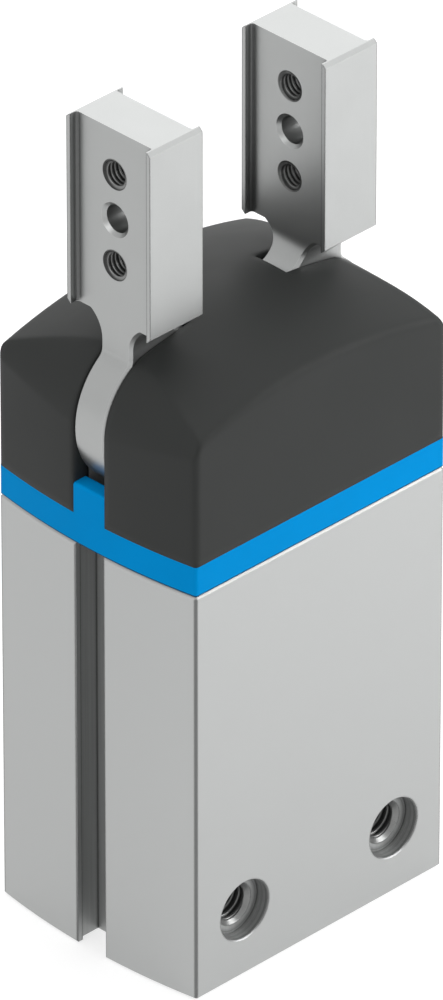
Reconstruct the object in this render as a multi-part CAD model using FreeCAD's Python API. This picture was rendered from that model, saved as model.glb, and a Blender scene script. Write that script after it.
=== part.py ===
"""Pneumatic radial gripper: two jaws swing outwards on pins, driven by a rack on the piston rod.

Millimetres. The origin is the centre of the body's bottom face, +Z runs up to the jaws,
X is the direction in which the jaws open and Y is the depth. The part is drawn closed:
piston down, both jaws upright.
"""
import math
import os

import FreeCAD
import Part
from FreeCAD import Vector

# Body
body_width = 46.0            # over the corners, along X
body_depth = 36.5            # along Y
body_height = 62.55
end_bulge = 1.57             # how far each end face bows out
corner_radius = 0.45
top_edge_break = 0.25
bottom_edge_break = 0.2

# Heights of the stack over the body
plate_height = 4.65
tongue_height = 4.6          # over the plate
pivot_rise = 17.65           # over the body
neck_length = 4.0            # from a jaw's round back up to its block
block_height = 28.45

# Sensor slots in the two end faces
slot_mouth = 5.2
slot_mouth_break = 0.2
slot_lip = 1.0
slot_chamber_width = 6.36
slot_depth = 4.45            # from the crest of the bowed face

# Mounting holes in the front face
mount_spacing = 28.0
mount_height = 10.0
mount_cbore_diameter = 8.8
mount_cbore_depth = 2.1
mount_edge_break = 0.15
mount_radius = 3.0           # outside radius of an M6 thread
mount_mouth_break = 0.15
cover_wall = 0.6             # between a mounting hole and the cover's recess

# Cylinder
bore_radius = 12.5
bore_top_z = 42.2
cover_seat_z = 9.0
cover_step = 1.0             # of the cover's recess round the bore
cover_dimple_radius = 5.0
cover_dimple_depth = 1.6
o_ring_width = 1.9
o_ring_height = 1.5
o_ring_break = 0.4
port_radius = 2.5            # outside radius of an M5 thread
port_mouth_break = 0.2
port_wall = 0.75             # between a port's end and the bore
port_passage_radius = 1.1
lower_port_rise = 3.0        # over the cover's seat
upper_port_drop = 2.4        # under the bore's top
retaining_groove_depth = 0.6
retaining_band_width = 2.2
retaining_ring_top_z = 2.6
retaining_ring_thickness = 1.3
retaining_gap = 6.4
retaining_eye_x = 4.6
retaining_eye_inset = 0.9    # of the eyes from the band's inner side
retaining_eye_radius = 2.1
retaining_eye_hole = 0.9
bumper_inner_radius = 7.5
bumper_outer_radius = 9.5
bumper_thickness = 1.8
bumper_stand = 0.8           # how far a bumper stands out of its groove

# Piston; a groove's place is a share of the piston's length
piston_relief_share = 0.15
piston_relief_depth = 2.1
seal_groove_width = 2.8
seal_groove_depth = 2.5
lower_seal_share = 0.26
upper_seal_share = 0.74
magnet_groove_width = 4.2
magnet_groove_depth = 3.0
magnet_share = 0.5
seal_break = 0.6
magnet_gap = 0.3             # from the magnet to the bore
nut_across_flats = 8.0
nut_recess_radius = 5.6
nut_recess_depth = 3.4
nut_thickness = 2.8
rod_recess_depth = 4.0

# Rod guide
rod_radius = 4.0
rod_spigot_radius = 2.5
rod_spigot_break = 0.4
rod_wall_height = 2.3        # between the bore and the rod seal
guide_radius = 6.0
rod_seal_height = 3.1

# Clearances
running_gap = 0.03           # radial, between sliding or turning pieces
seat_gap = 0.02              # around a fixed piece in its seat
contact_gap = 0.01           # between a seal and the face it wipes
side_gap = 0.08              # each side of a jaw in its slot
pocket_gap = 0.25            # between the cap and the carrier
window_gap = 0.15            # between the spacer plate and the carrier
spare = 0.6                  # past the end of a stroke
over = 1.0                   # how far a cut runs past the face that it opens

# Gear drive
gear_module = 0.8
gear_teeth = 12
pressure_angle = math.radians(25.0)
tooth_backlash = 0.04        # taken off each flank
root_clearance = 0.2
pivot_pin_radius = 2.5
opening_angle = math.pi / 2.0

# Spacer plate
plate_shadow_gap = 0.27
plate_rebate = 0.5
tongue_edge_radius = 0.4
tongue_gap = 1.0             # between a tongue and the round back of its jaw

# Jaw
jaw_hub_radius = 11.45
jaw_hub_width = 5.64
jaw_edge_break = 0.42
neck_outer_fillet = 1.6
neck_inner_fillet = 4.0
hub_past_fillet = math.radians(2.3)   # how far the round back runs on past the inner fillet
hub_end_angle = math.radians(225.0)   # counted from the middle of the gripper upwards
block_width = 15.3
block_centre = 2.88          # from the pivot towards the outside
block_over_flanges = 9.56
flange_thickness = 0.71
flange_stand = 1.2           # of a flange's edge over the web
flange_break = 0.55
flange_fillet = 0.45
flare_stand = 0.1            # of the flare's foot over the round back
flare_sink = 0.3             # of the flare into the block
jaw_hole_spacing = 13.6
jaw_hole_rise = 0.725        # of the middle hole over the block's middle
jaw_thread_radius = 2.0      # outside radius of an M4 thread
jaw_thread_mouth_break = 0.2
jaw_bore_radius = 2.0
jaw_bore_mouth_break = 0.5

# Carrier that holds the pivot pins
cheek_wall = 6.25            # from the cheeks' outer face to the cap's
cheek_end_wall = 3.05        # from the cheeks' ends to the jaws' round backs
hub_floor_gap = 0.45         # under a jaw's round back
carrier_screw_inset = 6.1    # from the pivot towards the middle
carrier_screw_radius = 1.5
carrier_screw_play = 0.1
carrier_screw_grip = 7.55    # of a screw in the body
screw_seat_rise = 4.6        # over the pivots
screw_head_radius = 2.75
screw_head_height = 3.0
screw_head_play = 0.15
screw_socket_width = 2.5     # across flats
screw_socket_depth = 1.6
locating_pin_outset = 4.4    # from the pivot towards the outside
locating_pin_radius = 1.5
locating_pin_depth = 5.0
locating_pin_cover = 0.8     # of carrier over a pin's end
rod_hole_radius = 4.15
hook_drop = 6.2              # of the cap's hooks under the pivots
hook_width = 12.0
hook_height = 2.2
hook_reach = 0.45            # of a hook into the cheek
hook_play = 0.2

# Cap
crown_wall = 1.9             # over the pocket of the raised rack
arch_radius = 81.0           # of the top, seen from the front
crown_radius = 48.0          # of the top, seen from the end
shoulder_rise = 11.25        # of the rounded end above the pivot
shoulder_bow_radius = 172.0  # of the rounded end, seen from above
crease_radius = 1.0
cap_corner_radius = 0.6
cap_wall = 2.0
cap_rib = 1.6                # wall between the carrier's pocket and a hollow
cap_hollow_width = 40.0
cap_hollow_rise = 3.8        # over the pivots
jaw_slot_inset = 4.2         # of a jaw slot's inner end from the pivot
rack_pocket_width = 19.0

# Worked out from the sizes above
half_depth = body_depth / 2.0
half_width = body_width / 2.0
crest_x = half_width + end_bulge
plate_top_z = body_height + plate_height
tongue_top_z = plate_top_z + tongue_height
pivot_z = body_height + pivot_rise
pivot_x = crest_x - jaw_hub_radius - seat_gap

pitch_radius = gear_module * gear_teeth / 2.0
rack_pitch = math.pi * gear_module
piston_stroke = pitch_radius * opening_angle
rack_top_z = pivot_z + 0.9 * rack_pitch
rack_low_z = pivot_z - 4.0 * rack_pitch
rod_flat_y = jaw_hub_width / 2.0 - seat_gap
rod_round_top_z = body_height + spare
rod_hole_top_z = rod_round_top_z + piston_stroke + spare
rack_pocket_top_z = rack_top_z + piston_stroke + spare
crown_top_z = rack_pocket_top_z + crown_wall

cover_recess_radius = bore_radius + cover_step
retaining_groove_radius = cover_recess_radius + retaining_groove_depth
retaining_band_radius = retaining_groove_radius - retaining_band_width
retaining_eye_y = retaining_band_radius - retaining_eye_inset
o_ring_z = (retaining_ring_top_z + cover_seat_z) / 2.0
piston_bottom_z = cover_seat_z + bumper_stand + seat_gap
piston_top_z = bore_top_z - bumper_stand - seat_gap - piston_stroke
piston_length = piston_top_z - piston_bottom_z
rod_seal_bottom_z = bore_top_z + rod_wall_height
lower_port_z = cover_seat_z + lower_port_rise
upper_port_z = bore_top_z - upper_port_drop

block_bottom_z = pivot_z + jaw_hub_radius + neck_length
block_top_z = block_bottom_z + block_height
block_x = pivot_x + block_centre
web_half = block_over_flanges / 2.0 - flange_stand
neck_outer_x = block_x + web_half
neck_inner_x = block_x - web_half
flare_top_z = block_bottom_z + flare_sink
neck_flare = neck_length + flare_sink - flare_stand
jaw_hole_mid_z = block_bottom_z + block_height / 2.0 + jaw_hole_rise

jaw_slot_width = jaw_hub_width + 2.0 * side_gap
jaw_slot_inner_x = pivot_x - jaw_slot_inset
cheek_radius = jaw_hub_radius - cheek_end_wall
cheek_outer_y = half_depth - cheek_wall
carrier_slot_floor_z = pivot_z - jaw_hub_radius - hub_floor_gap
carrier_screw_x = pivot_x - carrier_screw_inset
carrier_screw_y = (jaw_slot_width / 2.0 + cheek_outer_y) / 2.0
carrier_screw_seat_z = pivot_z + screw_seat_rise
carrier_screw_end_z = body_height - carrier_screw_grip
locating_pin_x = pivot_x + locating_pin_outset
hook_z = pivot_z - hook_drop


def cylinder(radius, z_low, z_high, x=0.0, y=0.0):
    """Upright cylinder between two heights."""
    return Part.makeCylinder(radius, z_high - z_low, Vector(x, y, z_low))


def cylinder_x(radius, x_low, x_high, y, z):
    """Cylinder lying along X."""
    return Part.makeCylinder(radius, x_high - x_low, Vector(x_low, y, z), Vector(1, 0, 0))


def cylinder_y(radius, y_low, y_high, x, z):
    """Cylinder lying along Y."""
    return Part.makeCylinder(radius, y_high - y_low, Vector(x, y_low, z), Vector(0, 1, 0))


def cone_x(radius_low, radius_high, x_low, x_high, y, z):
    """Cone lying along X."""
    place = Vector(x_low, y, z)
    return Part.makeCone(radius_low, radius_high, x_high - x_low, place, Vector(1, 0, 0))


def cone_y(radius_low, radius_high, y_low, y_high, x, z):
    """Cone lying along Y."""
    place = Vector(x, y_low, z)
    return Part.makeCone(radius_low, radius_high, y_high - y_low, place, Vector(0, 1, 0))


def box(x_low, x_high, y_low, y_high, z_low, z_high):
    """Box between two corners."""
    corner = Vector(x_low, y_low, z_low)
    return Part.makeBox(x_high - x_low, y_high - y_low, z_high - z_low, corner)


def ring(inner, outer, z_low, z_high):
    """Plain ring round the Z axis."""
    return cylinder(outer, z_low, z_high).cut(cylinder(inner, z_low - over, z_high + over))


def prism_y(points, y_low, y_high):
    """Straight-sided outline in the XZ plane, drawn out along Y."""
    loop = [Vector(x, y_low, z) for x, z in points]
    loop.append(loop[0])
    return Part.Face(Part.makePolygon(loop)).extrude(Vector(0, y_high - y_low, 0))


def prism_x(points, x_low, x_high):
    """Straight-sided outline in the YZ plane, drawn out along X."""
    loop = [Vector(x_low, y, z) for y, z in points]
    loop.append(loop[0])
    return Part.Face(Part.makePolygon(loop)).extrude(Vector(x_high - x_low, 0, 0))


def hexagon(across_flats, z_low, z_high, x=0.0, y=0.0):
    """Upright hexagonal prism between two heights."""
    corner = across_flats / math.sqrt(3.0)
    turns = [math.radians(60.0 * k) for k in range(7)]
    loop = [Vector(x + corner * math.cos(t), y + corner * math.sin(t), z_low) for t in turns]
    return Part.Face(Part.makePolygon(loop)).extrude(Vector(0, 0, z_high - z_low))


def mirror_x(shape):
    """The same shape on the other side of the middle."""
    return shape.mirror(Vector(0, 0, 0), Vector(1, 0, 0))


def both_sides(shape):
    """A shape and its mirror image."""
    return shape.fuse(mirror_x(shape))


def bowed_prism(z_low, z_high, radius, inset=0.0):
    """The plan outline with bowed ends and rounded corners, between two heights."""
    x = half_width - inset
    y = half_depth - inset
    crest = crest_x - inset
    right = Part.Arc(Vector(x, -y, z_low), Vector(crest, 0, z_low), Vector(x, y, z_low))
    left = Part.Arc(Vector(-x, y, z_low), Vector(-crest, 0, z_low), Vector(-x, -y, z_low))
    front = Part.LineSegment(Vector(-x, -y, z_low), Vector(x, -y, z_low))
    back = Part.LineSegment(Vector(x, y, z_low), Vector(-x, y, z_low))
    wire = Part.Wire([edge.toShape() for edge in (front, right, back, left)])
    solid = Part.Face(wire).extrude(Vector(0, 0, z_high - z_low))
    upright = [e for e in solid.Edges if abs(e.tangentAt(e.FirstParameter).z) > 0.9]
    return solid.makeFillet(radius, upright)


def edges_at_height(shape, z):
    """Edges that lie flat at one height."""
    level = []
    for edge in shape.Edges:
        if abs(edge.BoundBox.ZMin - z) < 1e-4 and abs(edge.BoundBox.ZMax - z) < 1e-4:
            level.append(edge)
    return level


def sensor_slot():
    """The undercut slot that a position sensor drops into, at the +X end face."""
    mouth = slot_mouth / 2.0
    chamber = slot_chamber_width / 2.0
    lip_x = crest_x - slot_lip
    floor_x = crest_x - slot_depth
    half = [
        (crest_x + over, mouth + slot_mouth_break),
        (crest_x, mouth + slot_mouth_break),
        (crest_x - slot_mouth_break, mouth),
        (lip_x, mouth),
        (lip_x, chamber),
        (floor_x, chamber),
    ]
    outline = half + [(x, -y) for x, y in reversed(half)]
    loop = [Vector(x, y, -over) for x, y in outline]
    loop.append(loop[0])
    return Part.Face(Part.makePolygon(loop)).extrude(Vector(0, 0, body_height + 2.0 * over))


def mounting_hole(x):
    """One counterbored thread in the front face, drilled down to the wall of the cover's recess."""
    z = mount_height
    face_y = -half_depth
    floor_y = face_y + mount_cbore_depth
    wide = mount_cbore_diameter / 2.0
    nearest_x = abs(x) - mount_radius
    end_y = -math.sqrt((cover_recess_radius + cover_wall) ** 2 - nearest_x ** 2)
    hole = cylinder_y(wide, face_y - over, floor_y, x, z)
    hole = hole.fuse(cone_y(wide + mount_edge_break, wide, face_y, face_y + mount_edge_break, x, z))
    mouth_y = floor_y + mount_mouth_break
    hole = hole.fuse(cone_y(mount_radius + mount_mouth_break, mount_radius, floor_y, mouth_y, x, z))
    hole = hole.fuse(cylinder_y(mount_radius, face_y, end_y, x, z))
    return hole.fuse(cone_y(mount_radius, 0.0, end_y, end_y + 0.5 * mount_radius, x, z))


def air_port(z):
    """One threaded port in the rear face, with its passage into the bore."""
    inner_y = bore_radius + port_wall
    mouth_y = half_depth - port_mouth_break
    port = cylinder_y(port_radius, inner_y, half_depth + over, 0.0, z)
    port = port.fuse(cone_y(port_radius, port_radius + port_mouth_break, mouth_y, half_depth, 0.0, z))
    return port.fuse(cylinder_y(port_passage_radius, bore_radius - over, inner_y, 0.0, z))


def housing():
    """Body with the cylinder bore, sensor slots, mounting holes and ports."""
    body = bowed_prism(0.0, body_height, corner_radius)
    body = body.makeChamfer(top_edge_break, edges_at_height(body, body_height))
    body = body.makeChamfer(bottom_edge_break, edges_at_height(body, 0.0))
    top = body_height + over
    cuts = [both_sides(sensor_slot())]
    cuts += [mounting_hole(side * mount_spacing / 2.0) for side in (-1.0, 1.0)]
    cuts += [air_port(lower_port_z), air_port(upper_port_z)]
    cuts.append(cylinder(cover_recess_radius, -over, cover_seat_z))
    cuts.append(cylinder(bore_radius, 0.0, bore_top_z))
    groove_low = retaining_ring_top_z - retaining_ring_thickness - seat_gap
    cuts.append(cylinder(retaining_groove_radius, groove_low, retaining_ring_top_z + seat_gap))
    bumper_top = bore_top_z + bumper_thickness - bumper_stand
    cuts.append(ring(bumper_inner_radius, bumper_outer_radius, bore_top_z - over, bumper_top))
    cuts.append(cylinder(rod_hole_radius, bore_top_z - over, rod_seal_bottom_z + over))
    cuts.append(cylinder(guide_radius, rod_seal_bottom_z, top))
    for x, y in carrier_screw_places():
        cuts.append(cylinder(carrier_screw_radius, carrier_screw_end_z - over, top, x, y))
    for x in (-locating_pin_x, locating_pin_x):
        cuts.append(cylinder(locating_pin_radius, body_height - locating_pin_depth, top, x))
    for cut in cuts:
        body = body.cut(cut)
    return body


def end_cover():
    """Round cover that closes the bottom of the bore."""
    low = retaining_ring_top_z
    cover = cylinder(cover_recess_radius - seat_gap, low, cover_seat_z)
    reach = 0.6 * o_ring_width
    floor = cover_recess_radius - o_ring_height
    groove = ring(floor, cover_recess_radius + over, o_ring_z - reach, o_ring_z + reach)
    bumper_low = cover_seat_z - bumper_thickness + bumper_stand
    seat = ring(bumper_inner_radius, bumper_outer_radius, bumper_low, cover_seat_z + over)
    dimple = cylinder(cover_dimple_radius, low - over, low + cover_dimple_depth)
    return cover.cut(groove).cut(seat).cut(dimple)


def end_cover_o_ring():
    """Seal in the rim of the end cover, pressed flat between groove and recess."""
    outer = cover_recess_radius - contact_gap
    inner = cover_recess_radius - o_ring_height + seat_gap
    low = o_ring_z - o_ring_width / 2.0
    high = o_ring_z + o_ring_width / 2.0
    seal = ring(inner, outer, low, high)
    return seal.makeChamfer(o_ring_break, edges_at_height(seal, low) + edges_at_height(seal, high))


def retaining_ring():
    """Snap ring with two eyes that holds the end cover in."""
    low = retaining_ring_top_z - retaining_ring_thickness
    high = retaining_ring_top_z
    outer = retaining_groove_radius - running_gap
    half_gap = retaining_gap / 2.0
    band = ring(retaining_band_radius, outer, low, high)
    band = band.cut(box(-half_gap, half_gap, -outer - over, 0.0, low - over, high + over))
    for x in (-retaining_eye_x, retaining_eye_x):
        band = band.fuse(cylinder(retaining_eye_radius, low, high, x, -retaining_eye_y))
        band = band.cut(cylinder(retaining_eye_hole, low - over, high + over, x, -retaining_eye_y))
    return band.common(cylinder(outer, low, high))


def bumper(z_low):
    """Elastic ring that the piston stops against."""
    inner = bumper_inner_radius + seat_gap
    outer = bumper_outer_radius - seat_gap
    return ring(inner, outer, z_low, z_low + bumper_thickness)


def groove_span(share, width):
    """Lower and upper height of a piston groove whose middle is at a share of the piston's length."""
    middle = piston_bottom_z + share * piston_length
    return middle - width / 2.0, middle + width / 2.0


def piston():
    """Piston with grooves for two seals and the magnet."""
    low = piston_bottom_z
    high = piston_top_z
    past = bore_radius + over
    relief = piston_relief_share * piston_length
    relief_radius = bore_radius - piston_relief_depth
    body = cylinder(bore_radius - running_gap, low, high)
    body = body.cut(ring(relief_radius, past, low - over, low + relief))
    body = body.cut(ring(relief_radius, past, high - relief, high + over))
    for share in (lower_seal_share, upper_seal_share):
        body = body.cut(ring(bore_radius - seal_groove_depth, past, *groove_span(share, seal_groove_width)))
    magnet_floor = bore_radius - magnet_groove_depth
    body = body.cut(ring(magnet_floor, past, *groove_span(magnet_share, magnet_groove_width)))
    body = body.cut(cylinder(rod_spigot_radius + seat_gap, low - over, high + over))
    body = body.cut(cylinder(nut_recess_radius, low - over, low + nut_recess_depth))
    return body.cut(cylinder(rod_radius + seat_gap, high - rod_recess_depth, high + over))


def piston_seal(share):
    """Seal with broken outer edges that fills one piston groove and wipes the bore."""
    low, high = groove_span(share, seal_groove_width)
    outer = bore_radius - contact_gap
    body = ring(bore_radius - seal_groove_depth + seat_gap, outer, low + seat_gap, high - seat_gap)
    rim = [e for e in body.Edges if e.BoundBox.ZLength < 1e-4 and e.Curve.Radius > outer - 1e-3]
    return body.makeChamfer(seal_break, rim)


def piston_magnet():
    """Ring magnet in the middle groove, which the position sensors feel."""
    low, high = groove_span(magnet_share, magnet_groove_width)
    inner = bore_radius - magnet_groove_depth + seat_gap
    return ring(inner, bore_radius - magnet_gap, low + seat_gap, high - seat_gap)


def rack_rod():
    """Piston rod with a flat head, toothed on both edges."""
    spigot_low = piston_bottom_z + rod_spigot_break
    shoulder_z = piston_top_z - rod_recess_depth + seat_gap
    rod = cylinder(rod_spigot_radius, spigot_low, shoulder_z + over)
    rod = rod.makeChamfer(rod_spigot_break, edges_at_height(rod, spigot_low))
    rod = rod.fuse(cylinder(rod_radius, shoulder_z, rack_low_z + over))
    for way in (-1.0, 1.0):
        y_low, y_high = sorted((way * rod_flat_y, way * (rod_radius + over)))
        rod = rod.cut(box(-rod_radius, rod_radius, y_low, y_high, rod_round_top_z, rack_low_z + 2.0 * over))
    line = pivot_x - pitch_radius
    root = line - gear_module - root_clearance + seat_gap
    rod = rod.fuse(box(-root, root, -rod_flat_y, rod_flat_y, rack_low_z, rack_top_z))
    for number in range(5):
        tooth = rack_tooth(pivot_z + (0.5 - number) * rack_pitch, line, root)
        rod = rod.fuse(tooth).fuse(mirror_x(tooth))
    return rod.removeSplitter()


def rack_tooth(z, line, root):
    """Straight-sided tooth of the rack on the +X edge."""
    half = rack_pitch / 4.0 - tooth_backlash
    slope = math.tan(pressure_angle)
    tip = line + gear_module
    foot = root - gear_module / 4.0
    points = [
        (foot, z - half - (line - foot) * slope),
        (tip, z - half + gear_module * slope),
        (tip, z + half - gear_module * slope),
        (foot, z + half + (line - foot) * slope),
    ]
    tooth = prism_y(points, -rod_flat_y, rod_flat_y)
    return tooth.common(box(0.0, tip + over, -rod_flat_y, rod_flat_y, rack_low_z, rack_top_z))


def piston_nut():
    """Thin hexagon nut that clamps the piston on the rod."""
    high = piston_bottom_z + nut_recess_depth
    low = high - nut_thickness
    hole = cylinder(rod_spigot_radius + seat_gap, low - over, high + over)
    return hexagon(nut_across_flats, low, high).cut(hole)


def gear_tooth_points(centre_angle):
    """Involute outline of one gear tooth, as offsets from the pivot."""
    base = pitch_radius * math.cos(pressure_angle)
    tip = pitch_radius + gear_module
    root = pitch_radius - gear_module - root_clearance
    half = (rack_pitch / 4.0 - tooth_backlash) / pitch_radius
    at_pitch = math.tan(pressure_angle) - pressure_angle
    flank = []
    steps = 3
    for k in range(steps + 1):
        radius = base + (tip - base) * k / steps
        angle = math.acos(base / radius)
        flank.append((radius, half + at_pitch - (math.tan(angle) - angle)))
    flank.insert(0, (root - gear_module / 3.0, flank[0][1]))
    right = [(r, centre_angle - a) for r, a in flank]
    left = [(r, centre_angle + a) for r, a in reversed(flank)]
    return [(r * math.cos(a), r * math.sin(a)) for r, a in right + left]


def jaw_flank(half):
    """Hub, round back and neck of the left jaw, between two planes along Y."""
    x = -pivot_x
    inner_reach = neck_inner_fillet + pivot_x - neck_inner_x
    start = math.acos(inner_reach / (jaw_hub_radius + neck_inner_fillet)) - hub_past_fillet
    far = 2.0 * jaw_hub_radius
    disc = cylinder_y(jaw_hub_radius, -half, half, x, pivot_z)
    wedge = [(x, pivot_z)]
    for share in (0.0, 0.25, 0.5, 0.75, 1.0):
        angle = start + share * (hub_end_angle - start)
        wedge.append((x + far * math.cos(angle), pivot_z + far * math.sin(angle)))
    disc = disc.common(prism_y(wedge, -half, half))
    neck = box(-neck_outer_x, -neck_inner_x, -half, half, pivot_z, flare_top_z)
    body = disc.fuse(neck)
    body = body.fuse(neck_fillet(-neck_outer_x, -1.0, neck_outer_fillet, half))
    return body.fuse(neck_fillet(-neck_inner_x, 1.0, neck_inner_fillet, half)).removeSplitter()


def neck_fillet(side_x, way, radius, half):
    """Hollow fillet between one side of the neck and the round back."""
    centre_x = side_x + way * radius
    offset = centre_x + pivot_x
    reach = jaw_hub_radius + radius
    rise = math.sqrt(reach ** 2 - offset ** 2)
    centre_z = pivot_z + rise
    touch_x = -pivot_x + offset * jaw_hub_radius / reach
    touch_z = pivot_z + rise * jaw_hub_radius / reach
    low_z = pivot_z + math.sqrt(jaw_hub_radius ** 2 - (side_x + pivot_x) ** 2) - over
    corners = [(side_x, centre_z), (centre_x, centre_z), (touch_x, touch_z), (side_x, low_z)]
    block = prism_y(corners, -half, half)
    return block.cut(cylinder_y(radius, -half - over, half + over, centre_x, centre_z))


def jaw_gear(half):
    """Toothed part of the left jaw, which meets the rack."""
    hub_radius = pitch_radius - gear_module - root_clearance
    gear = cylinder_y(hub_radius, -half, half, -pivot_x, pivot_z)
    for number in range(6):
        angle = math.radians(30.0 - 30.0 * number)
        points = [(x - pivot_x, z + pivot_z) for x, z in gear_tooth_points(angle)]
        gear = gear.fuse(prism_y(points, -half, half))
    return gear


def jaw_block():
    """Block with two flanges, to which the user's fingers are screwed."""
    centre = -block_x
    reach = block_over_flanges / 2.0
    side = block_width / 2.0
    inner = side - flange_thickness
    shoulder = side - flange_break
    web = box(centre - web_half, centre + web_half, -side, side, block_bottom_z, block_top_z)
    block = web
    for way in (-1.0, 1.0):
        y_low, y_high = sorted((way * inner, way * side))
        block = block.fuse(box(centre - reach, centre + reach, y_low, y_high, block_bottom_z, block_top_z))
    end_view = [
        (shoulder, block_bottom_z),
        (side, block_bottom_z + flange_break),
        (side, block_top_z - flange_break),
        (shoulder, block_top_z),
    ]
    end_view += [(-y, z) for y, z in reversed(end_view)]
    block = block.common(prism_x(end_view, centre - reach - over, centre + reach + over)).removeSplitter()
    corners = []
    for edge in block.Edges:
        span = edge.BoundBox
        at_web = abs(abs(span.XMin - centre) - web_half) < 1e-4 and span.XLength < 1e-4
        at_flange = abs(abs(span.YMin) - inner) < 1e-4 and span.YLength < 1e-4
        if at_web and at_flange and span.ZLength > block_height / 2.0:
            corners.append(edge)
    return block.makeFillet(flange_fillet, corners)


def jaw_thickness():
    """End view of hub and neck, hollow where it widens into the block, drawn out along X."""
    half = jaw_hub_width / 2.0
    wide = half + neck_flare
    low = pivot_z - jaw_hub_radius - over
    start = flare_top_z - neck_flare
    bend = neck_flare * (1.0 - math.sqrt(0.5))
    x = -pivot_x - jaw_hub_radius - over
    edges = [
        Part.makeLine(Vector(x, -half, low), Vector(x, half, low)),
        Part.makeLine(Vector(x, -wide, flare_top_z), Vector(x, wide, flare_top_z)),
    ]
    for way in (-1.0, 1.0):
        foot = Vector(x, way * half, start)
        middle = Vector(x, way * (half + bend), flare_top_z - bend)
        tip = Vector(x, way * wide, flare_top_z)
        edges.append(Part.makeLine(Vector(x, way * half, low), foot))
        edges.append(Part.Arc(foot, middle, tip).toShape())
    face = Part.Face(Part.Wire(Part.__sortEdges__(edges)))
    return face.extrude(Vector(2.0 * (pivot_x + jaw_hub_radius), 0, 0))


def jaw_left():
    """One-piece jaw on the -X side."""
    half = jaw_hub_width / 2.0
    flank = jaw_flank(half + neck_flare).common(jaw_thickness()).removeSplitter()
    rim = []
    for edge in flank.Edges:
        span = edge.BoundBox
        middle = edge.CenterOfMass
        outside = math.hypot(middle.x + pivot_x, middle.z - pivot_z) > 0.85 * jaw_hub_radius
        along_rim = span.ZLength > 1e-3 and (span.YLength < 1e-4 or span.ZMax > flare_top_z - neck_flare)
        at_side = max(abs(span.YMin), abs(span.YMax)) > half - 1e-4 and span.YMin * span.YMax > 0.0
        if outside and along_rim and at_side:
            rim.append(edge)
    flank = flank.makeChamfer(jaw_edge_break, rim)
    jaw = flank.fuse(jaw_gear(half)).fuse(jaw_block())
    jaw = jaw.cut(cylinder_y(pivot_pin_radius + running_gap, -half - over, half + over, -pivot_x, pivot_z))
    for hole in jaw_holes():
        jaw = jaw.cut(hole)
    return jaw.removeSplitter()


def jaw_holes():
    """Two threads and the bore between them, through the jaw along X."""
    low = -neck_outer_x
    high = -neck_inner_x
    holes = []
    for z in (jaw_hole_mid_z - jaw_hole_spacing / 2.0, jaw_hole_mid_z + jaw_hole_spacing / 2.0):
        holes.append(through_hole(jaw_thread_radius, jaw_thread_mouth_break, low, high, z))
    holes.append(through_hole(jaw_bore_radius, jaw_bore_mouth_break, low, high, jaw_hole_mid_z))
    return holes


def through_hole(radius, mouth_break, low, high, z):
    """Hole along X with a countersunk mouth at both ends."""
    mouth = radius + mouth_break
    hole = cylinder_x(radius, low - over, high + over, 0.0, z)
    hole = hole.fuse(cone_x(mouth, radius, low, low + mouth_break, 0.0, z))
    return hole.fuse(cone_x(radius, mouth, high - mouth_break, high, 0.0, z))


def cheek_profile(grow=0.0):
    """Rounded outline of the carrier's cheeks as a thick slab along Y."""
    radius = cheek_radius + grow
    reach = cheek_outer_y + grow
    outer = pivot_x + radius
    slab = box(-outer, outer, -reach, reach, body_height, pivot_z)
    slab = slab.fuse(box(-pivot_x, pivot_x, -reach, reach, body_height, pivot_z + radius))
    for x in (-pivot_x, pivot_x):
        slab = slab.fuse(cylinder_y(radius, -reach, reach, x, pivot_z))
    return slab.removeSplitter()


def carrier_screw_places():
    """Where the four screws of the carrier stand."""
    x = carrier_screw_x
    y = carrier_screw_y
    return [(-x, -y), (-x, y), (x, -y), (x, y)]


def carrier():
    """Block with two cheeks that hold the pivot pins over the body."""
    body = cheek_profile()
    half = jaw_slot_width / 2.0
    low = body_height - over
    top = crown_top_z
    cuts = [box(-crest_x, crest_x, -half, half, carrier_slot_floor_z, top)]
    cuts.append(cylinder(rod_hole_radius, low, rod_hole_top_z))
    for x in (-pivot_x, pivot_x):
        cuts.append(cylinder_y(pivot_pin_radius, -half_depth, half_depth, x, pivot_z))
    for x, y in carrier_screw_places():
        cuts.append(cylinder(carrier_screw_radius + carrier_screw_play, low, top, x, y))
        cuts.append(cylinder(screw_head_radius + screw_head_play, carrier_screw_seat_z, top, x, y))
    for x in (-locating_pin_x, locating_pin_x):
        cuts.append(cylinder(locating_pin_radius, low, locating_pin_top_z() + hook_play, x))
    for way in (-1.0, 1.0):
        cuts.append(hook_box(way, hook_reach + hook_play, hook_play))
    for cut in cuts:
        body = body.cut(cut)
    return body


def hook_box(way, reach, play):
    """Block of one hook of the cap, from inside the cheek outwards, enlarged by a play."""
    y_low, y_high = sorted((way * (cheek_outer_y - reach), way * (cheek_outer_y + over)))
    x = hook_width / 2.0 + play
    z = hook_height / 2.0 + play
    return box(-x, x, y_low, y_high, hook_z - z, hook_z + z)


def carrier_screws():
    """Four equal socket screws that hold the carrier on the body."""
    head_top = carrier_screw_seat_z + screw_head_height
    screws = []
    for x, y in carrier_screw_places():
        screw = cylinder(carrier_screw_radius, carrier_screw_end_z, head_top, x, y)
        screw = screw.fuse(cylinder(screw_head_radius, carrier_screw_seat_z, head_top, x, y))
        socket = hexagon(screw_socket_width, head_top - screw_socket_depth, head_top + over, x, y)
        screws.append(screw.cut(socket))
    return Part.makeCompound(screws)


def locating_pin_top_z():
    """Height of the locating pins' upper ends, under the slot of the carrier."""
    return carrier_slot_floor_z - locating_pin_cover


def locating_pins():
    """Two equal pins that centre the carrier on the body."""
    low = body_height - locating_pin_depth + seat_gap
    high = locating_pin_top_z()
    places = (-locating_pin_x, locating_pin_x)
    return Part.makeCompound([cylinder(locating_pin_radius, low, high, x) for x in places])


def pivot_pin(side):
    """Pin on which one jaw turns."""
    return cylinder_y(pivot_pin_radius, -cheek_outer_y, cheek_outer_y, side * pivot_x, pivot_z)


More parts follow.
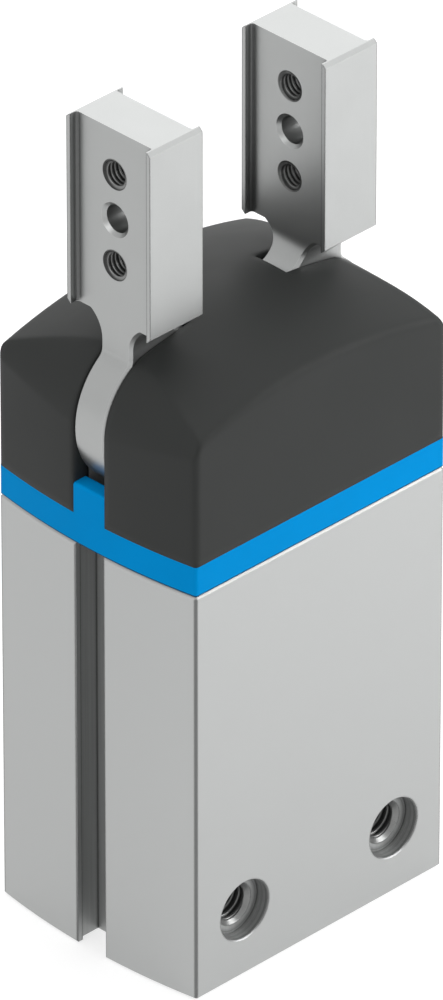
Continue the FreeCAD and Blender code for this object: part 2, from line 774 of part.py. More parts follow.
def rod_bush():
    """Plain bush that guides the rod."""
    low = rod_seal_bottom_z + rod_seal_height
    return ring(rod_radius + running_gap, guide_radius, low, body_height)


def rod_seal():
    """Rod seal under the bush."""
    low = rod_seal_bottom_z
    return ring(rod_radius + contact_gap, guide_radius - seat_gap, low, low + rod_seal_height)


def spacer_plate():
    """Coloured plate between body and cap, with a tongue in each jaw slot."""
    gap_top = body_height + plate_shadow_gap
    plate = bowed_prism(body_height, plate_top_z, corner_radius)
    rim = bowed_prism(body_height, gap_top, corner_radius)
    core = bowed_prism(body_height - over, gap_top + over, corner_radius, plate_rebate)
    plate = plate.cut(rim.cut(core))
    floor = box(-crest_x, crest_x, -half_depth, half_depth, body_height - over, plate_top_z + over)
    plate = plate.cut(cheek_profile(window_gap).common(floor))
    return plate.fuse(both_sides(tongue())).removeSplitter()


def tongue():
    """Tongue of the spacer plate that closes the +X jaw slot under the jaw's back."""
    half = jaw_slot_width / 2.0 - running_gap
    inner_x = pivot_x + cheek_radius + window_gap
    body = box(inner_x, crest_x + over, -half, half, plate_top_z - over, tongue_top_z)
    body = body.common(bowed_prism(body_height, tongue_top_z, corner_radius))
    outer_edges = [e for e in edges_at_height(body, tongue_top_z) if e.BoundBox.XMin > half_width]
    body = body.makeFillet(tongue_edge_radius, outer_edges)
    return body.cut(cylinder_y(jaw_hub_radius + tongue_gap, -half - over, half + over, pivot_x, pivot_z))


def crown_section():
    """Cross-section of the cap in the YZ plane: crowned top, rounded creases, flat sides."""
    centre_z = crown_top_z - crown_radius
    round_y = half_depth - crease_radius
    round_z = centre_z + math.sqrt((crown_radius - crease_radius) ** 2 - round_y ** 2)
    lean = math.atan2(round_y, round_z - centre_z)
    halfway = 0.5 * (lean + 0.5 * math.pi)
    touch_y = crown_radius * math.sin(lean)
    touch_z = centre_z + crown_radius * math.cos(lean)
    bend_y = round_y + crease_radius * math.sin(halfway)
    bend_z = round_z + crease_radius * math.cos(halfway)
    foot_z = body_height
    top = Vector(0, 0, crown_top_z)
    edges = [Part.Arc(Vector(0, -touch_y, touch_z), top, Vector(0, touch_y, touch_z)).toShape()]
    for way in (-1.0, 1.0):
        touch = Vector(0, way * touch_y, touch_z)
        bend = Vector(0, way * bend_y, bend_z)
        side = Vector(0, way * half_depth, round_z)
        edges.append(Part.Arc(touch, bend, side).toShape())
        edges.append(Part.makeLine(side, Vector(0, way * half_depth, foot_z)))
    edges.append(Part.makeLine(Vector(0, -half_depth, foot_z), Vector(0, half_depth, foot_z)))
    return Part.Face(Part.Wire(Part.__sortEdges__(edges)))


def rounded_end():
    """The space under the +X shoulder: a quarter ellipse over the pivot, swept round on a wide bow."""
    low = plate_top_z - over
    high = crown_top_z + over
    top_z = pivot_z + shoulder_rise
    middle = Vector(pivot_x, 0, pivot_z)
    along = Vector(crest_x, 0, pivot_z)
    above = Vector(pivot_x, 0, top_z)
    longer, shorter = sorted((along, above), key=middle.distanceToPoint, reverse=True)
    ellipse = Part.Ellipse(longer, shorter, middle)
    start, end = sorted((ellipse.parameter(along), ellipse.parameter(above)))
    far_x = -3.0 * crest_x
    outline = [
        Part.makeLine(Vector(far_x, 0, low), Vector(crest_x, 0, low)),
        Part.makeLine(Vector(crest_x, 0, low), along),
        Part.ArcOfEllipse(ellipse, start, end).toShape(),
        Part.makeLine(above, Vector(pivot_x, 0, high)),
        Part.makeLine(Vector(pivot_x, 0, high), Vector(far_x, 0, high)),
        Part.makeLine(Vector(far_x, 0, high), Vector(far_x, 0, low)),
    ]
    face = Part.Face(Part.Wire(Part.__sortEdges__(outline)))
    hub = Vector(crest_x - shoulder_bow_radius, 0, 0)
    face.rotate(hub, Vector(0, 0, 1), -12.0)
    return face.revolve(hub, Vector(0, 0, 1), 24.0)


def cap_shell():
    """Outer shape of the cap: bowed plan, arched and crowned top, rounded ends."""
    block = bowed_prism(plate_top_z, crown_top_z + over, cap_corner_radius)
    hub = Vector(0, 0, crown_top_z - arch_radius)
    section = crown_section()
    section.rotate(hub, Vector(0, 1, 0), -25.0)
    barrel = section.revolve(hub, Vector(0, 1, 0), 50.0)
    right = rounded_end()
    return block.common(barrel).common(right).common(mirror_x(right))


def cover_cap():
    """Moulded cap over the jaw drive, with a slot for each jaw."""
    shell = cap_shell().cut(cheek_profile(pocket_gap))
    half = jaw_slot_width / 2.0
    low = plate_top_z - over
    slot = box(jaw_slot_inner_x, crest_x + over, -half, half, low, crown_top_z + over)
    shell = shell.cut(both_sides(slot))
    side = rack_pocket_width / 2.0
    wide = half + hook_play
    shell = shell.cut(box(-side, side, -wide, wide, pivot_z, rack_pocket_top_z))
    reach = cap_hollow_width / 2.0
    for way in (-1.0, 1.0):
        y_low, y_high = sorted((way * (cheek_outer_y + cap_rib), way * (half_depth - cap_wall)))
        shell = shell.cut(box(-reach, reach, y_low, y_high, low, pivot_z + cap_hollow_rise))
        shell = shell.fuse(hook_box(way, hook_reach, 0.0))
    return shell.removeSplitter()


def main():
    left = jaw_left()
    nodes = {
        "housing": housing(),
        "end_cover": end_cover(),
        "end_cover_o_ring": end_cover_o_ring(),
        "retaining_ring": retaining_ring(),
        "lower_bumper": bumper(cover_seat_z + bumper_stand - bumper_thickness),
        "upper_bumper": bumper(bore_top_z - bumper_stand),
        "piston": piston(),
        "piston_seal_lower": piston_seal(lower_seal_share),
        "piston_seal_upper": piston_seal(upper_seal_share),
        "piston_magnet": piston_magnet(),
        "piston_nut": piston_nut(),
        "rack_rod": rack_rod(),
        "rod_seal": rod_seal(),
        "rod_bush": rod_bush(),
        "jaw_carrier": carrier(),
        "carrier_screws": carrier_screws(),
        "locating_pins": locating_pins(),
        "pivot_pin_left": pivot_pin(-1.0),
        "pivot_pin_right": pivot_pin(1.0),
        "spacer_plate": spacer_plate(),
        "cover_cap": cover_cap(),
        "jaw_left": left,
        "jaw_right": mirror_x(left),
    }
    os.makedirs("parts", exist_ok=True)
    for name, shape in nodes.items():
        if not shape.isValid():
            print("not valid:", name)
        shape.exportStep("parts/" + name + ".step")
        bounds = shape.BoundBox
        print(name, "%.2f %.2f %.2f" % (bounds.XLength, bounds.YLength, bounds.ZLength),
              "volume %.1f" % shape.Volume, len(shape.Solids))


main()
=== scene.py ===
import bpy
import numpy as np
from mathutils import Matrix, Vector


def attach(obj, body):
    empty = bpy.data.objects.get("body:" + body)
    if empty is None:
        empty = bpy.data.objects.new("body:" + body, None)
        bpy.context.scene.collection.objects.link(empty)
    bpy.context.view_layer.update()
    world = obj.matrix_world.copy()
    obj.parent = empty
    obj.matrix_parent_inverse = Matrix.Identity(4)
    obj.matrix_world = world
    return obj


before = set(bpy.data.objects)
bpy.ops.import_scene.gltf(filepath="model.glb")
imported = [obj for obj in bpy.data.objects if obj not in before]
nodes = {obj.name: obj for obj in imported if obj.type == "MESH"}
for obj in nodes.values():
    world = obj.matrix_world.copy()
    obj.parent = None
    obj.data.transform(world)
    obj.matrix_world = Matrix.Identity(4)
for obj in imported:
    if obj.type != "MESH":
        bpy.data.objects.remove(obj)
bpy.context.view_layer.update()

# Places in metres, as in the solids
mm = 0.001
jaw_web_outer = 19.56 * mm
jaw_web_inner = 12.40 * mm
jaw_hole_heights = {"lower": 103.8 * mm, "upper": 117.4 * mm}
jaw_flange_y = 3.0 * mm      # clear of the holes, short of the grooves beside the flanges
jaw_block_z = 95.7 * mm      # foot of the block
mount_x = 14.0 * mm
mount_z = 10.0 * mm
mount_floor_y = -16.15 * mm
mount_end_y = -8.82 * mm
mount_rim = 4.7 * mm         # a little more than the counterbore's radius
mount_rings_y = mount_floor_y + 0.5 * mm
port_heights = {"lower": 12.0 * mm, "upper": 39.8 * mm}
port_inner_y = 13.25 * mm
port_outer_y = 18.25 * mm

# Threads: radii of root and crest, pitch, length, width of the mouth's bevel, start as a share of a
# turn, and whether the hole goes through
jaw_thread = {
    "major": 2.0 * mm, "crest": 1.62 * mm, "pitch": 0.7 * mm, "length": jaw_web_outer - jaw_web_inner,
    "mouth": 0.2 * mm, "lead_in": 0.625, "through": True,
}
mount_thread = {
    "major": 3.0 * mm, "crest": 2.47 * mm, "pitch": 1.0 * mm, "length": mount_end_y - mount_floor_y,
    "mouth": 0.15 * mm, "lead_in": 0.0, "through": False,
}
port_thread = {
    "major": 2.5 * mm, "crest": 2.1 * mm, "pitch": 0.8 * mm, "length": port_outer_y - port_inner_y,
    "mouth": 0.2 * mm, "lead_in": 0.0, "through": False,
}
thread_play = 0.03 * mm      # of a thread's root in front of the hole's wall
thread_seat = 0.02 * mm      # of a thread's back in the hole's wall
thread_cone = 2.2            # slope of the cone at a through thread's ends
crest_edge = 0.25            # from a crest's middle, in half pitches
root_edge = 0.875


# Meshes

def new_piece(name, points, quads):
    """An object from a flat list of points and the four corners of each face."""
    mesh = bpy.data.meshes.new(name)
    mesh.from_pydata(points.tolist(), [], quads.tolist())
    piece = bpy.data.objects.new(name, mesh)
    bpy.context.scene.collection.objects.link(piece)
    return piece


def ring_piece(name, points):
    """Closed smooth surface from a grid whose rows and columns both run round: (rows, columns, xyz)."""
    rows, columns, _ = points.shape
    index = np.arange(rows * columns).reshape(rows, columns)
    below = np.roll(index, -1, axis=0)
    corners = [index, np.roll(index, -1, axis=1), np.roll(below, -1, axis=1), below]
    quads = np.stack(corners, axis=-1).reshape(-1, 4)
    flat = points.reshape(-1, 3)
    middle = flat.mean(axis=0)
    a, b, c, d = (flat[quads[:, k]] - middle for k in range(4))
    volume = np.sum(a * np.cross(b, c)) + np.sum(a * np.cross(c, d))
    if volume < 0.0:
        quads = quads[:, ::-1]
    piece = new_piece(name, flat, quads)
    piece.data.polygons.foreach_set("use_smooth", [True] * len(piece.data.polygons))
    piece.data.update()
    return piece


def inner_thread(name, start, direction, size, around=80, samples=12):
    """Right-handed inner thread as a thin sleeve from the hole's mouth on.

    A point of its inner side lies at start + direction * s + radius * (cos, sin of the turn). The
    radius is the root's radius less the thread's depth times a trapezium wave of s / pitch minus
    turn / full turn plus the lead-in. A through thread's crests end in a short steep cone at both
    faces, and a blind thread starts behind a plain 45 degree cone. The attribute "crest" is high
    on the thread's crests and on the plain cone, and 0 in its roots.
    """
    along = np.array(direction, float)
    side = np.array([0.0, 0.0, 1.0])
    other = np.cross(along, side)
    wall = size["major"]
    root = wall - thread_play
    mouth = size["mouth"]
    length = size["length"]
    s = np.linspace(0.0, length, int(length / size["pitch"] * samples) + 1)
    turn = np.linspace(0.0, 2.0 * np.pi, around, endpoint=False)
    phase = (s[None, :] / size["pitch"] - turn[:, None] / (2.0 * np.pi) + size["lead_in"]) % 1.0
    wave = np.clip((root_edge - np.abs(2.0 * phase - 1.0)) / (root_edge - crest_edge), 0.0, 1.0)
    radius = root - (root - size["crest"]) * wave
    crest = np.clip(2.0 * wave - 1.0, 0.0, 1.0)
    if size["through"]:
        cone = (root + mouth - thread_cone * np.minimum(s, length - s))[None, :]
        radius = np.maximum(radius, cone)
    else:
        cone = (root + mouth - s)[None, :]
        crest = np.where(cone > size["crest"], 1.0, crest)
        radius = np.where(cone > size["crest"], cone, radius)
    back = wall + thread_seat
    back_radius = np.array([back + mouth if size["through"] else back, back, back, back + mouth])
    back_place = np.array([length, length - mouth, mouth, 0.0])
    radius = np.concatenate([radius, np.tile(back_radius, (around, 1))], axis=1)
    place = np.concatenate([s, back_place])
    spoke = np.cos(turn)[:, None, None] * side + np.sin(turn)[:, None, None] * other
    points = np.array(start, float) + place[None, :, None] * along + radius[..., None] * spoke
    thread = ring_piece(name, points)
    shade = thread.data.attributes.new("crest", "FLOAT", "POINT")
    crest = np.concatenate([crest, np.zeros((around, len(back_place)))], axis=1)
    shade.data.foreach_set("value", crest.ravel())
    return thread


def threaded_hole(name, body, start, direction, size):
    """One thread that rides on a body."""
    thread = inner_thread(name, start, direction, size)
    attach(thread, body)
    return thread


def thread_pieces():
    """The threads of the jaws, the mounting holes and the air ports."""
    made = []
    for side, jaw in ((-1.0, "jaw_left"), (1.0, "jaw_right")):
        for word, height in jaw_hole_heights.items():
            name = f"{jaw}_thread_{word}"
            start = (side * jaw_web_outer, 0.0, height)
            made.append(threaded_hole(name, jaw, start, (-side, 0.0, 0.0), jaw_thread))
    for side, word in ((-1.0, "left"), (1.0, "right")):
        name = f"mounting_thread_{word}"
        start = (side * mount_x, mount_floor_y, mount_z)
        made.append(threaded_hole(name, "body", start, (0.0, 1.0, 0.0), mount_thread))
    for word, height in port_heights.items():
        name = f"port_thread_{word}"
        start = (0.0, port_outer_y, height)
        made.append(threaded_hole(name, "body", start, (0.0, -1.0, 0.0), port_thread))
    return made


# Materials

# Sockets of the colour mixing node, which has several of each name
mix_share = 0
mix_base = 6
mix_over = 7
mix_result = 2


class Finish:
    """A Principled material whose patterns are measured in object coordinates, in metres."""

    def __init__(self, name, colour, roughness, metallic=0.0, specular=0.5):
        self.material = bpy.data.materials.new(name)
        self.material.use_nodes = True
        self.tree = self.material.node_tree
        self.shader = self.tree.nodes["Principled BSDF"]
        self.colour = colour
        self.shader.inputs["Base Color"].default_value = (*colour, 1.0)
        self.shader.inputs["Roughness"].default_value = roughness
        self.shader.inputs["Metallic"].default_value = metallic
        self.shader.inputs["Specular IOR Level"].default_value = specular
        self.place = self.tree.nodes.new("ShaderNodeTexCoord").outputs["Object"]

    def node(self, kind, **values):
        """A new node with the given settings."""
        node = self.tree.nodes.new(kind)
        for name, value in values.items():
            setattr(node, name, value)
        return node

    def link(self, source, target):
        """Joins an output to an input."""
        self.tree.links.new(source, target)

    def sum_of(self, operation, *values):
        """One sum on patterns or numbers."""
        node = self.node("ShaderNodeMath", operation=operation)
        for socket, value in zip(node.inputs, values):
            if isinstance(value, float):
                socket.default_value = value
            else:
                self.link(value, socket)
        return node.outputs["Value"]

    def both(self, first, second):
        """The product of two patterns."""
        return self.sum_of("MULTIPLY", first, second)

    def axes(self, vector):
        """The X, Y and Z outputs of a vector."""
        parts = self.node("ShaderNodeSeparateXYZ")
        self.link(vector, parts.inputs["Vector"])
        return parts.outputs["X"], parts.outputs["Y"], parts.outputs["Z"]

    def noise(self, size, detail=3.0, stretch=(1.0, 1.0, 1.0)):
        """Noise with spots of about the given size in metres, longer along an axis stretched above 1."""
        mapping = self.node("ShaderNodeMapping")
        mapping.inputs["Scale"].default_value = tuple(1.0 / (size * s) for s in stretch)
        texture = self.node("ShaderNodeTexNoise")
        texture.inputs["Scale"].default_value = 1.0
        texture.inputs["Detail"].default_value = detail
        texture.inputs["Roughness"].default_value = 0.5
        self.link(self.place, mapping.inputs["Vector"])
        self.link(mapping.outputs["Vector"], texture.inputs["Vector"])
        return texture.outputs["Fac"]

    def spread(self, source, low, high, middle=0.5, width=0.25):
        """Turns a pattern round its middle into the range low to high."""
        node = self.node("ShaderNodeMapRange")
        node.inputs["From Min"].default_value = middle - width
        node.inputs["From Max"].default_value = middle + width
        node.inputs["To Min"].default_value = low
        node.inputs["To Max"].default_value = high
        self.link(source, node.inputs["Value"])
        return node.outputs["Result"]

    def tint(self, source, low, high):
        """Base colour between two shares of the finish's own colour, following a pattern round 0.5."""
        ramp = self.node("ShaderNodeValToRGB")
        ends = ramp.color_ramp.elements
        for end, position, share in ((ends[0], 0.25, low), (ends[1], 0.75, high)):
            end.position = position
            end.color = (*(min(1.0, share * c) for c in self.colour), 1.0)
        self.link(source, ramp.inputs["Fac"])
        return ramp.outputs["Color"]

    def lay(self, colour, mask, amount, over):
        """Lays another colour over the base where the mask is high."""
        mix = self.node("ShaderNodeMix", data_type="RGBA")
        mix.inputs[mix_over].default_value = (*over, 1.0)
        self.link(self.both(mask, amount), mix.inputs[mix_share])
        self.link(colour, mix.inputs[mix_base])
        return mix.outputs[mix_result]

    def paint(self, colour):
        """Gives the shader its base colour."""
        self.link(colour, self.shader.inputs["Base Color"])

    def gloss(self, source, low, high):
        """Roughness between two values, following a pattern."""
        self.link(self.spread(source, low, high), self.shader.inputs["Roughness"])

    def bump(self, source, depth, before=None):
        """Raises the surface by the pattern, to the given depth in metres, over a normal given before."""
        node = self.node("ShaderNodeBump")
        node.inputs["Strength"].default_value = 1.0
        node.inputs["Distance"].default_value = depth
        self.link(source, node.inputs["Height"])
        if before is not None:
            self.link(before, node.inputs["Normal"])
        self.link(node.outputs["Normal"], self.shader.inputs["Normal"])

    def rounded_normal(self, radius):
        """The normal as it would be if every edge had the given radius."""
        bevel = self.node("ShaderNodeBevel", samples=6)
        bevel.inputs["Radius"].default_value = radius
        return bevel.outputs["Normal"]

    def edge_mask(self, radius):
        """Near 1 on edges and 0 on open faces: how far the rounded normal leans from the true one."""
        geometry = self.node("ShaderNodeNewGeometry")
        lean = self.node("ShaderNodeVectorMath", operation="DOT_PRODUCT")
        self.link(self.rounded_normal(radius), lean.inputs[0])
        self.link(geometry.outputs["Normal"], lean.inputs[1])
        return self.spread(lean.outputs["Value"], 1.0, 0.0, middle=0.92, width=0.07)

    def corner_mask(self, radius):
        """1 on upright corners between an X face and a Y face, as wide as the given rounding."""
        turned = self.node("ShaderNodeVectorTransform")
        turned.vector_type = "NORMAL"
        turned.convert_from = "WORLD"
        turned.convert_to = "OBJECT"
        self.link(self.rounded_normal(radius), turned.inputs["Vector"])
        x, y, _ = self.axes(turned.outputs["Vector"])
        return self.spread(self.sum_of("ABSOLUTE", self.both(x, y)), 0.0, 1.0, middle=0.24, width=0.07)

    def flange_mask(self, distance, height):
        """1 above the height and further than the distance from the middle plane, and 0 elsewhere."""
        _, y, z = self.axes(self.place)
        beside = self.sum_of("GREATER_THAN", self.sum_of("ABSOLUTE", y), distance)
        return self.both(beside, self.sum_of("GREATER_THAN", z, height))

    def lower_edge_mask(self, radius):
        """1 along edges under which the piece ends, 0 on upright and upper faces."""
        _, _, z = self.axes(self.rounded_normal(radius))
        return self.spread(z, 1.0, 0.0, middle=-0.25, width=0.15)

    def recess_mask(self, distance, closed, open_):
        """1 in narrow recesses and 0 on open faces, from how many directions the piece itself blocks."""
        node = self.node("ShaderNodeAmbientOcclusion", samples=8, only_local=True)
        node.inputs["Distance"].default_value = distance
        middle = 0.5 * (closed + open_)
        return self.spread(node.outputs["AO"], 1.0, 0.0, middle=middle, width=0.5 * (open_ - closed))

    def turned_rings(self, across, height, reach, depth, pitch):
        """Tool rings in the two counterbores: noise of the radius from a hole's axis less the depth.

        On the wall the radius is constant and the rings follow the depth, and on the floor the
        other way round. Outside the counterbores the pattern is 0.
        """
        x, y, z = self.axes(self.place)
        beside = self.sum_of("SUBTRACT", self.sum_of("ABSOLUTE", x), across)
        above = self.sum_of("SUBTRACT", z, height)
        square = self.sum_of("ADD", self.both(beside, beside), self.both(above, above))
        radius = self.sum_of("SQRT", square)
        inside = self.sum_of("LESS_THAN", radius, reach)
        shallow = self.sum_of("LESS_THAN", y, depth)
        texture = self.node("ShaderNodeTexNoise", noise_dimensions="1D")
        texture.inputs["Scale"].default_value = 1.0 / pitch
        texture.inputs["Detail"].default_value = 2.0
        self.link(self.sum_of("SUBTRACT", radius, y), texture.inputs["W"])
        lines = self.spread(texture.outputs["Fac"], 0.0, 1.0, middle=0.56, width=0.14)
        return self.both(self.both(inside, shallow), lines)


aluminium_grey = (0.428, 0.435, 0.432)
steel_grey = (0.372, 0.379, 0.376)
# Dark grey laid as painted shade in slots, grooves, hollows and on upright corners, and also the colour
# of the tool rings in the counterbores
painted_shade_and_ring_grey = (0.12, 0.122, 0.121)
metal_share = 0.9
near_black = (0.03, 0.03, 0.03)


def anodised_aluminium():
    """Bead-blasted and clear anodised: even light grey, with painted highlights on edges and painted
    shade on the upright corners, in each slot and in narrow grooves.
    """
    finish = Finish("anodised aluminium", aluminium_grey, 0.5, metallic=metal_share)
    cloud = finish.noise(9.0 * mm, detail=4.0)
    grain = finish.noise(0.16 * mm, detail=2.0)
    streaks = finish.noise(0.3 * mm, detail=2.0, stretch=(1.0, 1.0, 90.0))
    streaks = finish.spread(streaks, 0.55, 1.0, width=0.15)
    # Painted shade deep in each slot, broken by extrusion streaks, and in narrow grooves
    slot_shade = finish.both(finish.recess_mask(10.0 * mm, closed=0.45, open_=0.9), streaks)
    grooves = finish.recess_mask(1.0 * mm, closed=0.45, open_=0.7)
    rings = finish.turned_rings(mount_x, mount_z, mount_rim, mount_rings_y, pitch=0.45 * mm)
    colour = finish.tint(cloud, 0.985, 1.015)
    # Painted highlight along the edges; painted shade on the rounded upright corners, in each slot and in
    # narrow grooves; the rings are tool marks
    colour = finish.lay(colour, finish.edge_mask(0.12 * mm), 0.3, (0.7, 0.705, 0.7))
    colour = finish.lay(colour, finish.corner_mask(0.42 * mm), 0.9, painted_shade_and_ring_grey)
    colour = finish.lay(colour, slot_shade, 0.3, painted_shade_and_ring_grey)
    colour = finish.lay(colour, grooves, 0.6, painted_shade_and_ring_grey)
    colour = finish.lay(colour, rings, 0.6, painted_shade_and_ring_grey)
    finish.paint(colour)
    finish.gloss(cloud, 0.47, 0.53)
    finish.bump(grain, 0.0025 * mm)
    return finish.material


def satin_steel():
    """Nickel-plated jaw steel, finely ground along its length, with painted highlights on edges and
    painted shade in recesses, grooves and on the flanges' upright corners.
    """
    finish = Finish("satin steel", steel_grey, 0.34, metallic=metal_share)
    lines = finish.noise(0.12 * mm, detail=3.0, stretch=(1.0, 1.0, 30.0))
    cloud = finish.noise(6.0 * mm, detail=3.0)
    flanges = finish.flange_mask(jaw_flange_y, jaw_block_z)
    # Painted shade: the flanges' upright corners, the hollows under the block and the narrow grooves
    flange_corner_shade = finish.both(finish.corner_mask(0.3 * mm), flanges)
    hollow_shade = finish.recess_mask(6.0 * mm, closed=0.5, open_=0.85)
    grooves = finish.recess_mask(1.3 * mm, closed=0.55, open_=0.9)
    colour = finish.tint(cloud, 0.985, 1.015)
    # Painted highlight along the edges, then painted shade on hollows, flange corners and grooves
    colour = finish.lay(colour, finish.edge_mask(0.1 * mm), 0.4, (0.75, 0.755, 0.75))
    colour = finish.lay(colour, hollow_shade, 0.5, painted_shade_and_ring_grey)
    colour = finish.lay(colour, flange_corner_shade, 0.9, painted_shade_and_ring_grey)
    colour = finish.lay(colour, grooves, 0.95, near_black)
    finish.paint(colour)
    finish.gloss(lines, 0.31, 0.37)
    finish.bump(lines, 0.0012 * mm)
    return finish.material


def cut_thread():
    """Tapped thread: grey crests, with the roots painted near-black as shade."""
    finish = Finish("cut thread", (0.03, 0.031, 0.03), 0.35, metallic=0.6)
    marks = finish.noise(0.1 * mm, detail=2.0, stretch=(8.0, 8.0, 1.0))
    crest = finish.node("ShaderNodeAttribute", attribute_name="crest").outputs["Fac"]
    # Painted shade: near-black roots, with grey laid on the crests and on the mouth's cone
    finish.paint(finish.lay(finish.tint(marks, 0.8, 1.2), crest, 0.9, (0.24, 0.243, 0.24)))
    finish.gloss(marks, 0.26, 0.36)
    finish.bump(marks, 0.002 * mm)
    return finish.material


def cut_metal(name, colour, roughness, metallic):
    """Turned or cut metal: fine tool marks, seen as short streaks, and slightly cloudy colour."""
    finish = Finish(name, colour, roughness, metallic=metallic)
    marks = finish.noise(0.1 * mm, detail=2.0, stretch=(8.0, 8.0, 1.0))
    cloud = finish.noise(4.0 * mm, detail=3.0)
    finish.paint(finish.tint(cloud, 0.94, 1.06))
    finish.gloss(marks, roughness - 0.06, roughness + 0.06)
    finish.bump(marks, 0.002 * mm)
    return finish.material


def moulded_plastic(name, colour, roughness, specular, light, rounding=0.3 * mm, joint=0.0):
    """Moulded plastic with a fine spark-eroded grain and softly rounded edges, with a painted highlight
    along them.

    The last argument, when above 0, darkens the lower edge with painted shade, standing in for the shadow
    in the gap under the piece.
    """
    finish = Finish(name, colour, roughness, specular=specular)
    cloud = finish.noise(12.0 * mm, detail=4.0)
    grain = finish.noise(0.22 * mm, detail=2.0)
    colour = finish.tint(cloud, 0.96, 1.04)
    # Painted highlight along the edges
    colour = finish.lay(colour, finish.edge_mask(0.15 * mm), 0.3, light)
    # Painted shade along the lower edge, for the shadow in the gap under the piece
    if joint > 0.0:
        colour = finish.lay(colour, finish.lower_edge_mask(0.35 * mm), joint, (0.02, 0.018, 0.015))
    finish.paint(colour)
    finish.gloss(cloud, roughness - 0.04, roughness + 0.04)
    finish.bump(grain, 0.004 * mm, before=finish.rounded_normal(rounding))
    return finish.material


def dark_plastic():
    """The cap: charcoal, with wide soft edges."""
    grey = (0.0255, 0.0272, 0.0263)
    # Colour of the painted highlight along the edges
    light = (0.042, 0.044, 0.042)
    return moulded_plastic("dark plastic", grey, 0.55, 0.2, light, rounding=1.5 * mm)


def blue_plastic():
    """The plate under the cap: saturated blue with painted shade along its lower edge."""
    blue = (0.0, 0.29, 0.71)
    # Colour of the painted highlight along the edges
    light = (0.0, 0.33, 0.8)
    return moulded_plastic("blue plastic", blue, 0.5, 0.02, light, joint=0.9)


def seal_rubber():
    """Black rubber with a dusty, mottled skin."""
    finish = Finish("seal rubber", (0.02, 0.02, 0.021), 0.6, specular=0.35)
    skin = finish.noise(0.5 * mm, detail=4.0)
    finish.paint(finish.tint(skin, 0.7, 1.5))
    finish.gloss(skin, 0.5, 0.7)
    finish.bump(skin, 0.006 * mm)
    return finish.material


finishes = {
    "anodised aluminium": anodised_aluminium(),
    "satin steel": satin_steel(),
    "cut thread": cut_thread(),
    "cut aluminium": cut_metal("cut aluminium", (0.62, 0.625, 0.62), 0.34, 0.6),
    "ground steel": cut_metal("ground steel", (0.42, 0.42, 0.42), 0.26, 0.9),
    "black spring steel": cut_metal("black spring steel", (0.1, 0.1, 0.105), 0.38, 0.7),
    "sintered bronze": cut_metal("sintered bronze", (0.48, 0.31, 0.12), 0.4, 0.9),
    "dark plastic": dark_plastic(),
    "blue plastic": blue_plastic(),
    "magnet compound": moulded_plastic("magnet compound", near_black, 0.6, 0.4, (0.05, 0.05, 0.05)),
    "seal rubber": seal_rubber(),
}

node_finishes = {
    "anodised aluminium": ("housing", "end_cover"),
    "satin steel": ("jaw_left", "jaw_right"),
    "cut aluminium": ("piston", "jaw_carrier"),
    "ground steel": ("piston_nut", "rack_rod", "locating_pins", "pivot_pin_left", "pivot_pin_right"),
    "black spring steel": ("retaining_ring", "carrier_screws"),
    "sintered bronze": ("rod_bush",),
    "dark plastic": ("cover_cap",),
    "blue plastic": ("spacer_plate",),
    "magnet compound": ("piston_magnet",),
    "seal rubber": (
        "end_cover_o_ring", "lower_bumper", "upper_bumper",
        "piston_seal_lower", "piston_seal_upper", "rod_seal",
    ),
}


def dress(piece, finish):
    """Gives a piece one finish all over."""
    piece.data.materials.clear()
    piece.data.materials.append(finishes[finish])


for finish, names in node_finishes.items():
    for name in names:
        dress(nodes[name], finish)
for thread in thread_pieces():
    dress(thread, "cut thread")


# Studio

def seen_directly(tree, otherwise, directly):
    """A strength for rays of the camera, of gloss and of glass, and another for all other rays."""
    path = tree.nodes.new("ShaderNodeLightPath")
    seen = path.outputs["Is Camera Ray"]
    for ray in ("Is Glossy Ray", "Is Transmission Ray"):
        either = tree.nodes.new("ShaderNodeMath")
        either.operation = "MAXIMUM"
        tree.links.new(seen, either.inputs[0])
        tree.links.new(path.outputs[ray], either.inputs[1])
        seen = either.outputs["Value"]
    share = tree.nodes.new("ShaderNodeMapRange")
    share.inputs["To Min"].default_value = otherwise
    share.inputs["To Max"].default_value = directly
    tree.links.new(seen, share.inputs["Value"])
    return share.outputs["Result"]


def floor_paint():
    """Matt grey that looks white to the camera where nothing shades it."""
    material = bpy.data.materials.new("pale floor")
    material.use_nodes = True
    tree = material.node_tree
    shader = tree.nodes["Principled BSDF"]
    shader.inputs["Base Color"].default_value = (0.5, 0.5, 0.5, 1.0)
    shader.inputs["Roughness"].default_value = 0.9
    shader.inputs["Specular IOR Level"].default_value = 0.0
    shader.inputs["Emission Color"].default_value = (1.0, 1.0, 1.0, 1.0)
    tree.links.new(seen_directly(tree, 0.0, 0.65), shader.inputs["Emission Strength"])
    return material


def pale_floor():
    """Wide flat floor: a square grid, just under the gripper."""
    half = 30.0
    count = 5
    below = 0.2 * mm
    rows = np.linspace(-half, half, count)
    x, y = np.meshgrid(rows, rows, indexing="ij")
    points = np.stack([x, y, np.full_like(x, -below)], axis=-1).reshape(-1, 3)
    index = np.arange(count * count).reshape(count, count)
    corners = [index[:-1, :-1], index[1:, :-1], index[1:, 1:], index[:-1, 1:]]
    floor = new_piece("studio_floor", points, np.stack(corners, axis=-1).reshape(-1, 4))
    floor.data.materials.append(floor_paint())


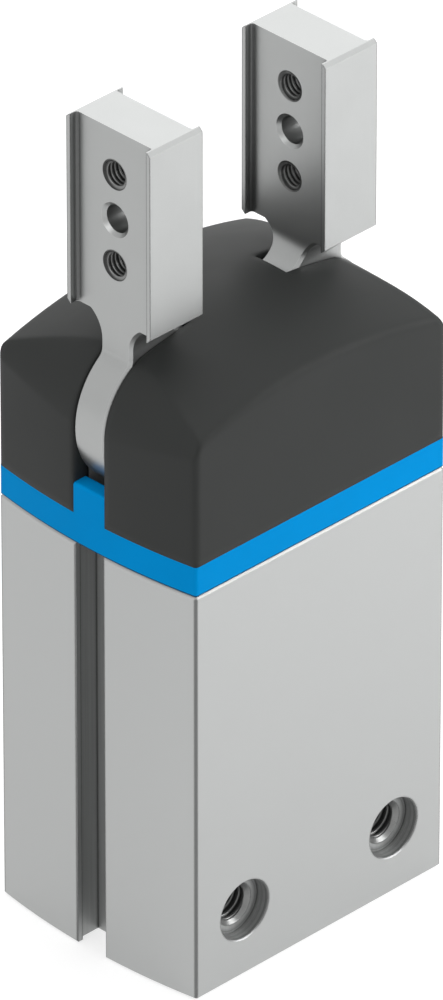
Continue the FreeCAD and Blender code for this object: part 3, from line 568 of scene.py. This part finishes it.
def soft_sky():
    """Even white surroundings: full white where seen, dimmer as light."""
    world = bpy.data.worlds.new("studio")
    world.use_nodes = True
    tree = world.node_tree
    background = tree.nodes["Background"]
    background.inputs["Color"].default_value = (1.0, 1.0, 1.0, 1.0)
    tree.links.new(seen_directly(tree, 0.6, 1.0), background.inputs["Strength"])
    bpy.context.scene.world = world


def soft_lamp(name, place, target, size, watts):
    """Square soft box that faces a target."""
    data = bpy.data.lights.new(name, "AREA")
    data.shape = "SQUARE"
    data.size = size
    data.energy = watts
    lamp = bpy.data.objects.new(name, data)
    bpy.context.scene.collection.objects.link(lamp)
    lamp.location = place
    lamp.rotation_euler = (Vector(target) - Vector(place)).to_track_quat("-Z", "Y").to_euler()


def lamps():
    """Four large soft boxes round the gripper, and a small one that lights the floor in front."""
    middle = (0.0, 0.0, 0.06)
    soft_lamp("overhead_lamp", (0.1, 0.1, 1.5), middle, size=1.2, watts=5.5)
    soft_lamp("right_lamp", (0.95, -0.85, 0.95), middle, size=1.0, watts=2.1)
    soft_lamp("back_lamp", (1.0, 1.0, 0.9), middle, size=1.0, watts=4.0)
    soft_lamp("left_lamp", (-1.45, -0.25, 0.85), middle, size=1.0, watts=5.3)
    soft_lamp("floor_lamp", (0.28, -0.3, 0.2), (0.28, -0.3, 0.0), size=0.3, watts=1.8)


def camera():
    """Long lens from the front left and above, as in the photograph."""
    place = Vector((-1.144750, -1.146678, 1.068313))
    aim = Vector((0.0025954, 0.0027521, 0.0571847))
    data = bpy.data.cameras.new("camera")
    data.lens = 522.59
    data.sensor_width = 36.0
    data.clip_start = 0.05
    data.clip_end = 200.0
    seen = bpy.data.objects.new("camera", data)
    bpy.context.scene.collection.objects.link(seen)
    forward = (aim - place).normalized()
    right = forward.cross(Vector((0.0, 0.0, 1.0))).normalized()
    up = right.cross(forward)
    turn = Matrix((right, up, -forward)).transposed().to_4x4()
    seen.matrix_world = Matrix.Translation(place) @ turn
    bpy.context.scene.camera = seen


pale_floor()
soft_sky()
lamps()
camera()
bpy.context.scene.view_settings.view_transform = "Standard"
